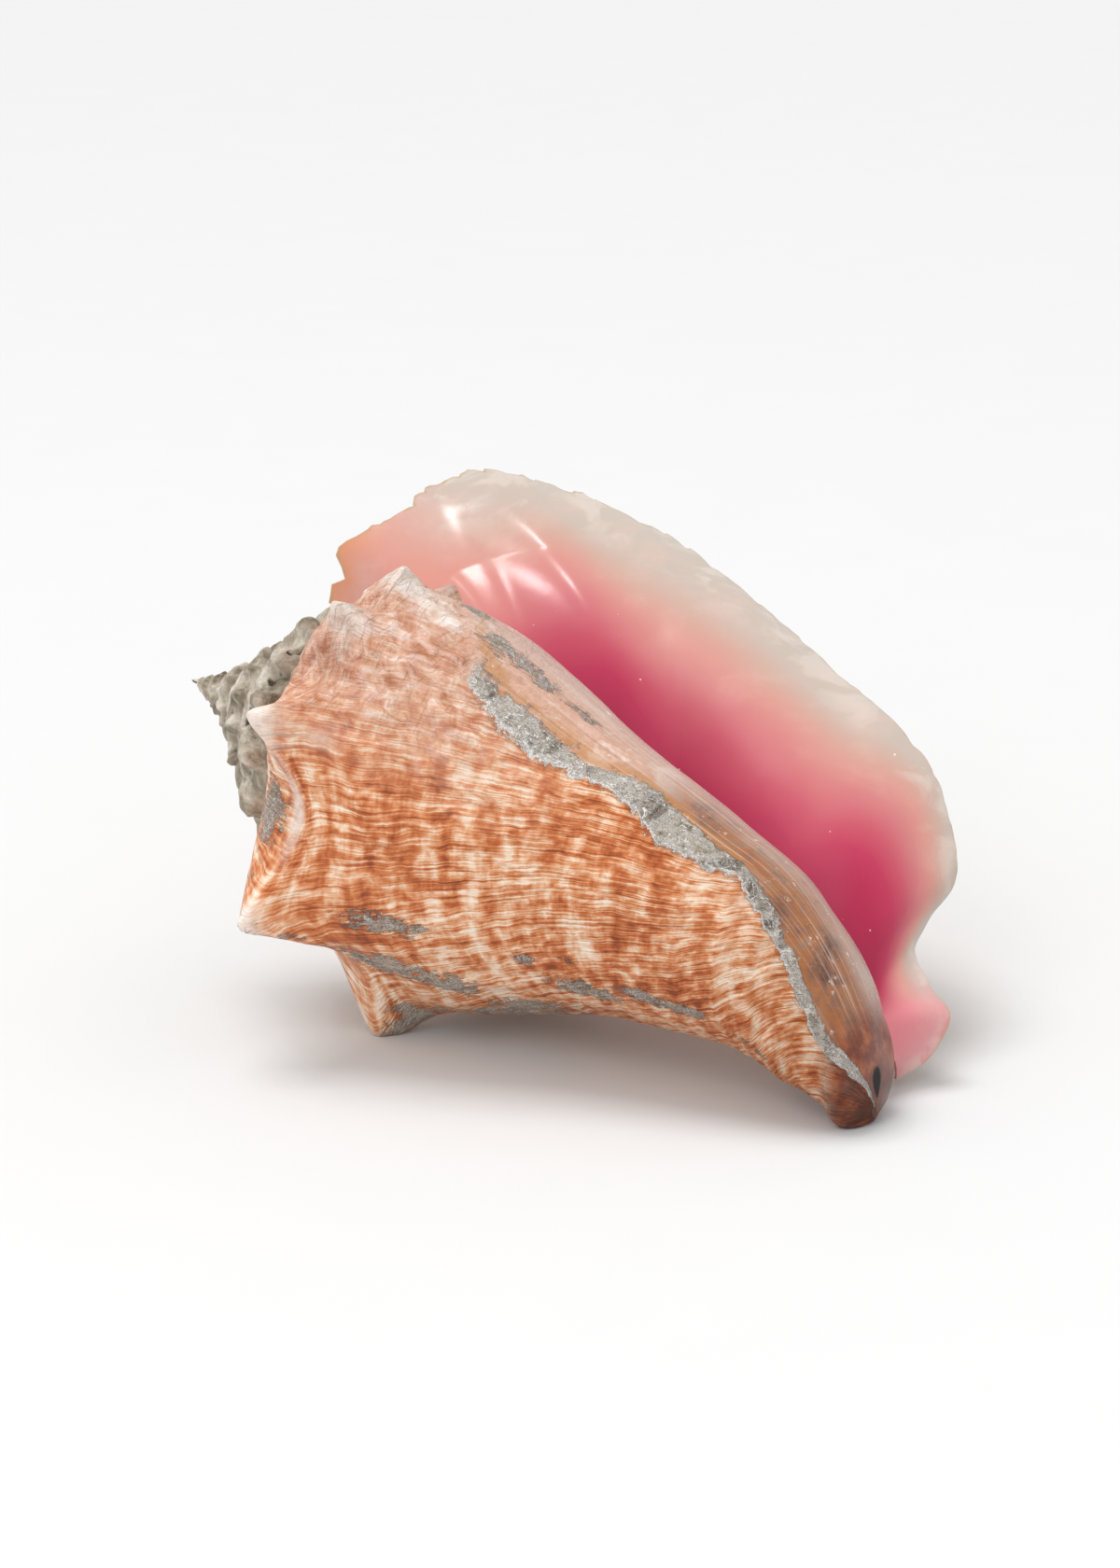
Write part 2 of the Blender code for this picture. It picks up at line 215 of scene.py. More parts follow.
# Colour ramps: position, colour
BODY_COLOURS = [(0.16, "#F9E7D4"), (0.33, "#F1CFB2"), (0.45, "#E4AC84"), (0.57, "#D68A58"),
                (0.69, "#C46A32"), (0.81, "#AE5522"), (0.95, "#873A14")]
# Ramp of the pink young part: partly its own pink tones, partly painted light and shade, paler on the
# ripples' ridges and darker between them
PINK_AND_RIDGE_SHADE_COLOURS = [(0.34, "#A87459"), (0.46, "#CE9F88"), (0.56, "#E2BFAE"), (0.68, "#F3E3D9")]
CHALK_COLOURS = [(0.35, "#CDB5A4"), (0.47, "#E9D9CC"), (0.62, "#F8F1EA")]
CANAL_COLOURS = [(0.35, "#4A1A0C"), (0.50, "#76301A"), (0.65, "#A4582F")]
CRUST_COLOURS = [(0.36, "#6C6054"), (0.44, "#A3978B"), (0.52, "#DDD4CB"), (0.59, "#C4B8A6"),
                 (0.67, "#87755A")]
UPPER_GLAZE = [(0.34, "#B58871"), (0.44, "#D5AB97"), (0.54, "#C6987F"), (0.64, "#E4C8BA")]
LOWER_GLAZE = [(0.34, "#54301F"), (0.43, "#85583F"), (0.50, "#A0602F"), (0.57, "#946A4E"),
               (0.66, "#6B4E3D")]
SPIRE_COLOURS = [(0.32, "#655A4A"), (0.43, "#918574"), (0.53, "#B8AD9C"), (0.66, "#DCD4C8")]
LIP_COLOURS = [(0.10, "#A80F42"), (0.22, "#B4244C"), (0.31, "#BD475B"), (0.40, "#C66C70"),
               (0.52, "#CC8B80"), (0.63, "#C3A091"), (0.72, "#BEACA0"), (0.93, "#BDB1A6")]
WHITE = (1.0, 1.0, 1.0, 1.0)

# Opening of the canal's tip, painted as a near-black spot of shade: v, growth angle, and how fast it ends
# in v and per degree
HOLE_V = 0.990
HOLE_GROWTH = 24.0
HOLE_TIGHT_V = 190.0
HOLE_TIGHT_GROWTH = 0.055

# Camera
CAMERA_AT = (0.0072, -1.0582, 0.3503)
CAMERA_AZIMUTH = 0.50
CAMERA_FALL = 15.89
CAMERA_LENS = 110.9
SENSOR = 36.0

# Floor and soft light
FLOOR_HALF = 12.0
FLOOR_TONES = ("#DBDBDB", "#DDDDDD")
SKY = 0.81
AIM = (0.0, 0.0, 0.05)
KEY_AT = (-0.38, 0.40, 1.75)
KEY_ENERGY = 1.45
KEY_SPREAD = 32.0
FILL_AT = (-0.45, -1.20, 0.95)
FILL_ENERGY = 4.5
FILL_SIZE = 0.8

# Small lights whose reflections show on the lip: name, place, energy
REFLECTIONS = [("window", (-0.548, 0.300, 1.130), 0.36), ("crescent", (-0.318, 0.384, 1.220), 0.40)]
REFLECTION_SIZE = 0.05

# Lattice of random values that the noise is made from
SEED = 5
LATTICE = 48
LATTICE_VALUES = np.random.default_rng(SEED).uniform(-1.0, 1.0, (LATTICE, LATTICE, LATTICE))


def ease(x, low, high):
    """0 below low, 1 above high, smooth between."""
    t = np.clip((np.asarray(x, float) - low) / (high - low), 0.0, 1.0)
    return t * t * (3.0 - 2.0 * t)


def smooth_curve(knots, values, where):
    """A smooth curve through values (k, n) at knots (k,), read at where (m,), as (m, n)."""
    knots = np.asarray(knots, float)
    values = np.asarray(values, float)
    where = np.asarray(where, float)
    slopes = np.gradient(values, knots, axis=0)
    at = np.clip(np.searchsorted(knots, where, side="right") - 1, 0, len(knots) - 2)
    width = (knots[at + 1] - knots[at])[:, None]
    t = (where - knots[at])[:, None] / width
    start = (2 * t**3 - 3 * t**2 + 1) * values[at] + (t**3 - 2 * t**2 + t) * slopes[at] * width
    end = (3 * t**2 - 2 * t**3) * values[at + 1] + (t**3 - t**2) * slopes[at + 1] * width
    return start + end


def scale(g):
    """Size of the whorl at g: the older whorls of the spire grow faster."""
    return np.exp(GROWTH * (np.maximum(g, PARIETAL) - REF_ANGLE)
                  + SPIRE_GROWTH * (np.minimum(g, PARIETAL) - PARIETAL))


def shoulder(g):
    """Radius and depth of the shoulder."""
    radius = SHOULDER_RADIUS * scale(g)
    depth = SHOULDER_DEPTH * scale(g) + SHOULDER_DROP * ease(g, 40.0, 230.0)
    return radius, depth


def open_profile(g, v):
    """Radius and depth across the whorl, as (len(v), len(g)), without spines."""
    radius, depth = shoulder(g)
    seam_radius, seam_depth = shoulder(g - TURN)
    seam_depth = seam_depth + COVER_STEP * seam_radius
    cover_depth = depth + COVER_STEP * radius
    knots = [0.0, 0.09, 0.17, SPINE_PLACE, COVER]
    radii = [seam_radius, seam_radius + 0.30 * (radius - seam_radius),
             seam_radius + 0.72 * (radius - seam_radius), radius, radius]
    depths = [seam_depth, seam_depth + 0.22 * (depth - seam_depth),
              seam_depth + 0.50 * (depth - seam_depth), depth, cover_depth]
    older = np.clip(-g, 0.0, 300.0)
    spire = ease(-g, 300.0, 450.0)
    reach = (LENGTH - cover_depth) * (1.0 - spire) + SPIRE_REACH * radius * spire
    for share, body_radius in BODY[1:]:
        knots.append(COVER + (1.0 - COVER) * share)
        radii.append(body_radius / SHOULDER_RADIUS * radius * np.exp(-COLUMELLA_SHRINK * older * share))
        depths.append(cover_depth + share * reach)
    return smooth_curve(knots, radii, v), smooth_curve(knots, depths, v)


def profile(g, v):
    """The whorl's profile, which turns into one closed tube at the canal's end."""
    radii, depths = open_profile(g, v)
    tip_radii, tip_depths = open_profile(np.array([REF_ANGLE]), v)
    closed = ease(v, 0.86, CANAL_V)[:, None]
    return radii + closed * (tip_radii - radii), depths + closed * (tip_depths - depths)


def bumps(g, v):
    """Outward and apexward size of the spines and the spire's knobs, as (len(v), len(g))."""
    outward = np.zeros((len(v), len(g)))
    apexward = np.zeros((len(v), len(g)))
    across = np.asarray(v)[:, None] - SPINE_PLACE
    for angle, length, lean, wide, tall in SPINES:
        along = (g[None, :] - angle) / (SPINE_WIDE * wide)
        away = np.sqrt(along**2 + (across / (SPINE_TALL * tall))**2 + 0.008)
        outward += length * np.exp(-away**SPINE_POWER)
        apexward += lean * np.exp(-away**SPINE_POWER)
    for angle, at_v, depth, wide, tall in DENTS:
        away = ((g[None, :] - angle) / wide)**2 + ((np.asarray(v)[:, None] - at_v) / tall)**2
        outward -= depth * np.exp(-away)
    older = ease(-g, -20.0, 20.0)[None, :]
    wave = np.clip(np.cos(np.radians((g + KNOB_SHIFT) * TURN / KNOB_STEP)), -0.2, 1.0)[None, :]
    oldest = ease(g, LIP_ANGLE - (TURNS + 1) * TURN, LIP_ANGLE - TURNS * TURN)[None, :]
    knob = SHOULDER_RADIUS * scale(g)[None, :] * wave * np.exp(-(across / KNOB_TALL)**2) * older * oldest
    return outward + KNOB_SIZE * knob, apexward + KNOB_LEAN * knob


def place(g, radius, depth):
    """Points in the shell's frame."""
    bend = BEND * np.clip((depth - BEND_START) / (LENGTH - BEND_START), 0.0, 2.0)**1.5
    bend = bend + CANAL_BEND * np.clip((depth - CANAL_START) / (LENGTH - CANAL_START), 0.0, 2.0)**2
    turn = np.radians(g)
    back = math.radians(BACK_ANGLE)
    radius = radius * (1.0 - SLIM_TIP * (1.0 - ease(depth, 0.0, SLIM_DEPTH)))
    x = radius * np.cos(turn) + bend * math.cos(back)
    y = -radius * np.sin(turn) - bend * math.sin(back)
    return np.stack([x, y, -depth], -1)


def surface(g, v, spiny=True):
    """Outside of the whorl as points (len(v), len(g), 3)."""
    g = np.asarray(g, float)
    v = np.asarray(v, float)
    radius, depth = profile(g, v)
    if spiny:
        outward, apexward = bumps(g, v)
        seam_out, seam_apex = bumps(g - TURN, [COVER])
        near_seam = 1.0 - ease(v, 0.0, 0.10)[:, None]
        radius = radius + outward * (1.0 - near_seam) + seam_out * near_seam
        depth = depth - apexward * (1.0 - near_seam) - seam_apex * near_seam
    return place(g[None, :], radius, depth)


def inward(points):
    """Unit vectors into the shell at every point of a grid (v, growth, 3)."""
    across = np.gradient(points, axis=0)
    along = np.gradient(points, axis=1)
    normal = np.cross(across, along)
    return normal / (np.linalg.norm(normal, axis=-1, keepdims=True) + 1e-12)


def wall(v, radius, into=0.0):
    """Thickness of the wall, into degrees behind the lip: none at the lip's two ends."""
    at_lip = 1.0 - ease(into, 0.0, 15.0)
    taper = ease(v, 0.0, 0.10) * (1.0 - at_lip * ease(v, 0.76, 0.92))
    return np.minimum(WALL * taper[:, None], WALL_SHARE * radius)


def wing(v, t):
    """Outside and inside of the flared lip: t is 0 where it leaves the body and 1 at its rim."""
    step = 1.0
    root = surface([LIP_ANGLE - step, LIP_ANGLE], v)
    start = root[:, 1]
    share = np.asarray(v) / CANAL_V
    rim = np.array([(x, y, -depth) for _, x, y, depth in RIM])
    rim = np.concatenate([rim[:1] + to_shell(EAR_DROP), rim])
    end = smooth_curve([0.0, EAR_SHARE] + [row[0] for row in RIM[1:]], rim, share)
    end = end + to_shell(LIP_NUDGE) * (ease(share, 0.32, 0.46) * (1.0 - ease(share, 0.72, 0.82)))[:, None]
    span = np.linalg.norm(end - start, axis=1, keepdims=True)
    leave = root[:, 1] - root[:, 0]
    leave = leave / np.linalg.norm(leave, axis=1, keepdims=True)
    outward = -inward(surface([LIP_ANGLE - step, LIP_ANGLE, LIP_ANGLE + step], v, spiny=False))[:, 1]
    ends = 1.0 - ease(v, 0.0, 0.25) + ease(v, 0.80, CANAL_V)
    leave = leave + LIFT * ends[:, None] * outward
    chord = (end - start) / span
    arrive = chord - FLARE_BACK * leave
    t = np.broadcast_to(np.asarray(t)[None, :], (len(v), len(t)))[..., None]
    # u is t, longer or shorter near the rim where the broken edge stands out or is chipped
    u = t * (1.0 + ragged(v)[:, None, None] * ease(t, RAGGED_FROM, 1.0))
    outside = ((2 * u**3 - 3 * u**2 + 1) * start[:, None]
               + (u**3 - 2 * u**2 + u) * (FLARE_START * span * leave)[:, None]
               + (3 * u**2 - 2 * u**3) * end[:, None]
               + (u**3 - u**2) * (FLARE_END * span * arrive)[:, None])
    lean = ease(t, 0.0, 0.3)
    direction = lean * inward(outside) - (1.0 - lean) * outward[:, None]
    radius, _ = profile(np.array([LIP_ANGLE]), v)
    base = wall(v, radius)
    edge = RIM_WALL * ease(t[..., 0], 0.0, 0.5) * (1.0 - 0.6 * ease(v, 0.80, CANAL_V)[:, None])
    thick = np.maximum(base * (1.0 - ease(t[..., 0], 0.3, 1.0)), edge)
    thick = thick * np.sqrt(np.clip((1.0 - t[..., 0]) / RIM_ROUND, 0.0, 1.0))
    return outside, outside + direction * thick[..., None]


def cavity(g, v):
    """The hollow at growth angles g, which end at the lip: (outer wall, inner wall)."""
    into = LIP_ANGLE - g
    start = COVER + 0.03 * ease(into, 0.0, 10.0)
    stop = CANAL_V - 0.12 * ease(into, 0.0, 60.0)
    inner_share = (v[v >= COVER] - COVER) / (CANAL_V - COVER)
    outer_columns = []
    inner_columns = []
    for angle, low, high in zip(g, start, stop):
        outer_v = v - (CANAL_V - high) * ease(v, 0.4, CANAL_V)
        near = np.array([angle - 1.0, angle, angle + 1.0])
        column = surface(near, outer_v, spiny=False)
        radius, _ = profile(near[1:2], outer_v)
        outer_columns.append(column[:, 1] + inward(column)[:, 1] * wall(v, radius, LIP_ANGLE - angle))
        inner_columns.append(surface(near[1:2] - TURN, low + inner_share * (high - low))[:, 0])
    return np.stack(outer_columns, axis=1), np.stack(inner_columns, axis=1)


def noise(points, size):
    """Smooth noise from -1 to 1 with lumps of this size, at points (..., 3)."""
    p = np.asarray(points, float) / size
    cell = np.floor(p).astype(int)
    f = p - cell
    f = f * f * (3.0 - 2.0 * f)
    total = np.zeros(p.shape[:-1])
    for i in (0, 1):
        for j in (0, 1):
            for k in (0, 1):
                corner = LATTICE_VALUES[(cell[..., 0] + i) % LATTICE, (cell[..., 1] + j) % LATTICE,
                                        (cell[..., 2] + k) % LATTICE]
                weight = (np.where(i, f[..., 0], 1 - f[..., 0]) * np.where(j, f[..., 1], 1 - f[..., 1])
                          * np.where(k, f[..., 2], 1 - f[..., 2]))
                total += corner * weight
    return total


def rough(points, size, octaves=3):
    """Noise with finer noise on it."""
    total = 0.0
    for octave in range(octaves):
        total = total + noise(np.asarray(points) + 0.37 * octave, size / 2**octave) / 2**octave
    return total


def ridges(points, size, octaves=2):
    """Noise of thin raised threads, 0 to about 1."""
    total = 0.0
    for octave in range(octaves):
        thread = 1.0 - np.abs(noise(np.asarray(points) + 0.51 * octave, size / 2**octave))
        total = total + thread**3 / 2**octave
    return total / 1.5


def flat_points(g, v, g_size, v_size):
    """Points for noise that follows the growth: one unit is g_size degrees by v_size."""
    grid = np.broadcast_arrays(np.asarray(g, float) / g_size, np.asarray(v, float) / v_size, 0.5)
    return np.stack(grid, -1)


def ragged(v):
    """How far the lip's broken edge stands out, as a share of the lip's width."""
    along = flat_points(0.0, v, 1.0, 0.045)
    fine = flat_points(7.0, v, 1.0, 0.012)
    chips = flat_points(13.0, v, 1.0, 0.006)
    total = RAGGED * (0.5 * noise(along, 1.0) + 0.7 * noise(fine, 1.0) + 0.8 * noise(chips, 1.0))
    total = total * (1.0 + 0.9 * np.exp(-((np.asarray(v) - 0.42) / 0.09)**2))
    for at_v, height, wide in FLAKES:
        total = total + height * np.exp(-((np.asarray(v) - at_v) / wide)**2)
    return total


def attitude():
    """Rows are the shell's axes in the world, lying as it rests."""
    azimuth = math.radians(AXIS_AZIMUTH)
    rise = math.radians(AXIS_RISE)
    roll = math.radians(ROLL)
    axis = Vector((math.cos(azimuth) * math.cos(rise), math.sin(azimuth) * math.cos(rise), math.sin(rise)))
    level = Vector((0.0, 0.0, 1.0)) - axis * axis.z
    level.normalize()
    x_axis = level * math.cos(roll) + axis.cross(level) * math.sin(roll)
    return np.array([x_axis, axis.cross(x_axis), axis])


def to_world(points):
    """From the shell's frame to the world, worn flat where it stands."""
    world = points @ attitude() + np.array(APEX)
    world[..., 2] = np.maximum(world[..., 2], FLOOR_GAP)
    return world


def to_shell(vector):
    """A world direction in the shell's frame."""
    return attitude() @ np.array(vector)


def spots(rows, g, v):
    """Sum of soft spots given as v, growth angle, half widths and strength."""
    total = 0.0
    for at_v, at_g, wide_v, wide_g, strength in rows:
        total = total + strength * np.exp(-((v - at_v) / wide_v)**2 - ((g - at_g) / wide_g)**2)
    return total


def slant(v):
    """How many degrees the growth lines fall behind at v."""
    rows = np.array(SLANT)
    return np.interp(v, rows[:, 0], rows[:, 1])


def whorl_masks(g, v, points):
    """Degrees inside the glaze's edge and past the crust's inner side, then crust, chalk and brown."""
    rows = np.array(GLAZE_EDGE)
    edge = np.interp(v, rows[:, 0], rows[:, 1])
    inner = np.interp(v, rows[:, 0], rows[:, 2])
    frill = 2.2 * noise(flat_points(g, v, 9.0, 0.030), 1.0)
    frill = frill + 1.6 * noise(flat_points(g, v, 4.0, 0.010), 1.0)
    inside = edge - g - frill
    past = g - inner + 3.5 * noise(flat_points(g, v, 12.0, 0.05), 1.0) + 2.5 * noise(points, 0.0022)
    patch = np.clip(spots(CRUST_SPOTS, g, v), 0.0, 1.2)
    tips = 0.0
    for angle, _, _, wide, tall in SPINES:
        bald = BALD_SHARE if angle < CHALKY_BEFORE else LESS_BALD_SHARE
        tips = tips + np.exp(-((g - angle) / (bald * wide))**2 - ((v - SPINE_PLACE) / (bald * tall))**2)
    chalk = np.clip(tips + spots(CHALK_SPOTS, g, v), 0.0, 1.0)
    brown = np.clip(spots(BROWN_SPOTS, g, v), -1.0, 1.4)
    return inside, past, patch, chalk, brown


def whorl_relief(g, v, points, inside, past, patch, chalk):
    """Height of the fine relief over the last whorl."""
    glaze = ease(inside, -0.6, 0.6)
    crust = glaze * ease(past, -2.0, 2.0) * ease(v, 0.415, 0.435)
    crust = np.maximum(crust, 0.7 * ease(patch, 0.4, 0.9))
    bare = (1.0 - glaze) * (1.0 - 0.6 * chalk)
    cords = CORD_HEIGHT * np.cos(v * 2.0 * math.pi / CORD_SPACING) * bare * ease(v, 0.30, 0.40)
    lines = LINE_HEIGHT * rough(flat_points(g, v, 1.8, 0.10), 1.0, 2) * bare
    folds = FOLD_HEIGHT * noise(flat_points(g, v, 7.0, 0.16), 1.0) * (1.0 - ease(v, 0.42, 0.60)) * bare
    young = 1.0 - ease(g, 70.0, 120.0)
    creased = young * bare * ease(v, 0.05, 0.15) * (1.0 - ease(v, 0.42, 0.58))
    wrinkles = WRINKLE_HEIGHT * rough(flat_points(g, v, 4.6, 0.024), 1.0, 2)
    creases = CREASE_DEPTH * ridges(points, 0.007, 1)
    lumps = LUMP_HEIGHT * rough(points, 0.014, 2) * (1.0 - 0.5 * glaze)
    step = GLAZE_HEIGHT * glaze * ease(v, 0.36, 0.44)
    scab = crust * (THREAD_HEIGHT * ridges(points, 0.0017, 2) + SCAB_HEIGHT * rough(points, 0.004, 2))
    return cords + lines + folds + (wrinkles - creases) * creased + lumps + step + scab


class Patchwork:
    """Collects grids of points into one mesh with named values at its points."""

    def __init__(self):
        self.points = []
        self.values = {}
        self.faces = []
        self.count = 0

    def grid(self, points, flip=False, share=None, tip=False, **values):
        """Adds a grid (rows, columns, 3) and returns its index numbers.

        flip turns its faces over, share gives index numbers that come before its first column, and tip
        joins its last row in one point.
        """
        rows, columns = points.shape[:2]
        index = self.count + np.arange(rows * columns).reshape(rows, columns)
        self.points.append(points.reshape(-1, 3))
        for name in set(self.values) | set(values):
            given = np.broadcast_to(values.get(name, 0.0), (rows, columns)).reshape(-1)
            self.values.setdefault(name, [np.zeros(self.count)]).append(given)
        self.count += rows * columns
        if share is not None:
            index = np.concatenate([share[:, None], index], axis=1)
        if tip:
            index[-1, :] = index[-1, 0]
        a, b, c, d = index[:-1, :-1], index[:-1, 1:], index[1:, 1:], index[1:, :-1]
        corners = (a, d, c, b) if flip else (a, b, c, d)
        quads = np.stack([corner.reshape(-1) for corner in corners], -1)
        self.faces.append(quads)
        return index

    def build(self, name, material):
        """Makes the mesh a visible piece of the part."""
        points = np.concatenate(self.points)
        quads = np.concatenate(self.faces)
        faces = [list(dict.fromkeys(quad)) for quad in quads.tolist()]
        faces = [face for face in faces if len(face) > 2]
        mesh = bpy.data.meshes.new(name)
        mesh.from_pydata(to_world(points).tolist(), [], faces)
        for key, parts in self.values.items():
            attribute = mesh.attributes.new(key, "FLOAT", "POINT")
            attribute.data.foreach_set("value", np.concatenate(parts).astype(np.float32))
        mesh.shade_smooth()
        mesh.materials.append(material)
        piece = bpy.data.objects.new(name, mesh)
        bpy.context.collection.objects.link(piece)
        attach(piece, "root")
        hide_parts("conch_shell")


def whorl_columns():
    """Growth angles of the last whorl's columns: close together where it faces the viewer."""
    back = np.arange(PARIETAL, FRONT_FROM, REST_STEP)
    front = np.arange(FRONT_FROM, FRONT_TO, FRONT_STEP)
    rest = np.linspace(FRONT_TO, LIP_ANGLE, int((LIP_ANGLE - FRONT_TO) / REST_STEP))
    return np.concatenate([back, front, rest])


def whorl_rows():
    """Places v across the last whorl, from the seam to the canal's tip."""
    ramp = np.linspace(0.0, COVER, RAMP_ROWS)
    body = np.linspace(COVER, CANAL_V, BODY_ROWS)[1:]
    canal = np.linspace(CANAL_V, 1.0, CANAL_ROWS)[1:]
    return np.concatenate([ramp, body, canal])


def displaced(points, height):
    """A grid of points moved outwards by height."""
    return points - inward(points) * height[..., None]


def make_outside(material):
    """The last whorl and the back of the lip."""
    skin = Patchwork()
    g = whorl_columns()
    v = whorl_rows()
    points = surface(g, v)
    across = v[:, None]
    along = g[None, :]
    inside, past, patch, chalk, brown = whorl_masks(along, across, points)
    height = whorl_relief(along, across, points, inside, past, patch, chalk)
    at_lip = 1.0 - ease(along, LIP_ANGLE - 8.0, LIP_ANGLE)
    at_start = ease(along, PARIETAL, PARIETAL + 6.0)
    points = displaced(points, height * at_lip * at_start * (1.0 - ease(across, 0.985, 1.0)))
    index = skin.grid(points, tip=True, growth=along, across=across, line=along + slant(across),
                      inside=inside, past=past, patch=patch, chalk=chalk, brown=brown)
    mouth = v <= CANAL_V + TINY
    t = np.linspace(0.0, 1.0, BACK_COLUMNS)**0.9
    outside, _ = wing(v[mouth], t)
    swell = BACK_HEIGHT * ease(t, 0.0, 0.1) * (1.0 - ease(t, 0.93, 1.0))
    outside = displaced(outside, swell[None, :] * rough(outside, 0.012, 3))
    grown = LIP_ANGLE + LIP_GROWTH * t[None, 1:]
    skin.grid(outside[:, 1:], share=index[mouth, -1], growth=grown, across=across[mouth],
              line=grown + slant(across[mouth]), inside=-90.0, rim=t[None, 1:])
    skin.build("shell_outside", material)


def spire_columns():
    """Growth angles of the spire, further apart on the small old whorls."""
    columns = [PARIETAL]
    end = PARIETAL - TURNS * TURN
    while columns[-1] > end:
        older = (PARIETAL - columns[-1]) / (TURNS * TURN)
        columns.append(max(end, columns[-1] - (1.3 + 3.2 * older)))
    return np.array(columns[::-1])


def make_spire(material):
    """The older whorls, pitted, down to a closed tip."""
    skin = Patchwork()
    g = spire_columns()
    v = np.linspace(0.0, COVER, SPIRE_ROWS)
    points = surface(g, v)
    edge = ease(v, 0.0, 0.03)[:, None] * (1.0 - ease(v, COVER - 0.03, COVER))[:, None]
    pits = PIT_DEPTH * ease(rough(points, 0.0035, 3), 0.35, 0.9)
    height = SPIRE_HEIGHT * (rough(points, 0.004, 3) + ridges(points, 0.003, 2)) - pits
    height = height * scale(g)[None, :] * edge
    points = displaced(points, height)
    tip = np.array([0.0, 0.0, -TIP_DEPTH])
    born = ease(g, g[0], g[0] + TIP_TURN)[None, :, None]
    points = tip + (points - tip) * (0.12 + 0.88 * born)
    skin.grid(points, pit=ease(-height, 0.0, 0.0006))
    first_turn = points[0, g < g[0] + TURN]
    skin.grid(np.stack([first_turn, np.broadcast_to(tip, first_turn.shape)]))
    skin.build("shell_spire", material)


def make_inside(material):
    """The flared lip's inner face, its rim and the hollow behind it."""
    skin = Patchwork()
    v = whorl_rows()
    v = v[v <= CANAL_V + TINY]
    share = np.linspace(0.0, 1.0, LIP_COLUMNS)
    t = np.sort(np.concatenate([share * 0.97, np.linspace(0.972, 1.0, RIM_COLUMNS)]))
    outside, inside = wing(v, t)
    hollow_g = np.arange(LIP_ANGLE - CAVITY_TURN, LIP_ANGLE + HOLLOW_STEP / 2, HOLLOW_STEP)
    outer, inner = cavity(hollow_g, v)
    outer[:, -1] = inside[:, 0]
    outer[0] = inner[0]
    outer[-1] = inner[-1]
    depth_in = (hollow_g - LIP_ANGLE)[None, :] / 60.0
    face = np.concatenate([outer[:, :-1], inside], axis=1)
    reach = np.concatenate([depth_in[:, :-1], t[None, :]], axis=1)
    skin.grid(face, flip=True, reach=reach, across=v[:, None])
    ramp = int(np.sum(v < COVER))
    skin.grid(inner, reach=depth_in - 0.3, across=v[ramp:, None])
    for side in (0, -1):
        strip = np.stack([outside[side], inside[side]])
        skin.grid(strip, flip=side == -1, reach=t[None, :], across=v[side])
    skin.build("shell_inside", material)


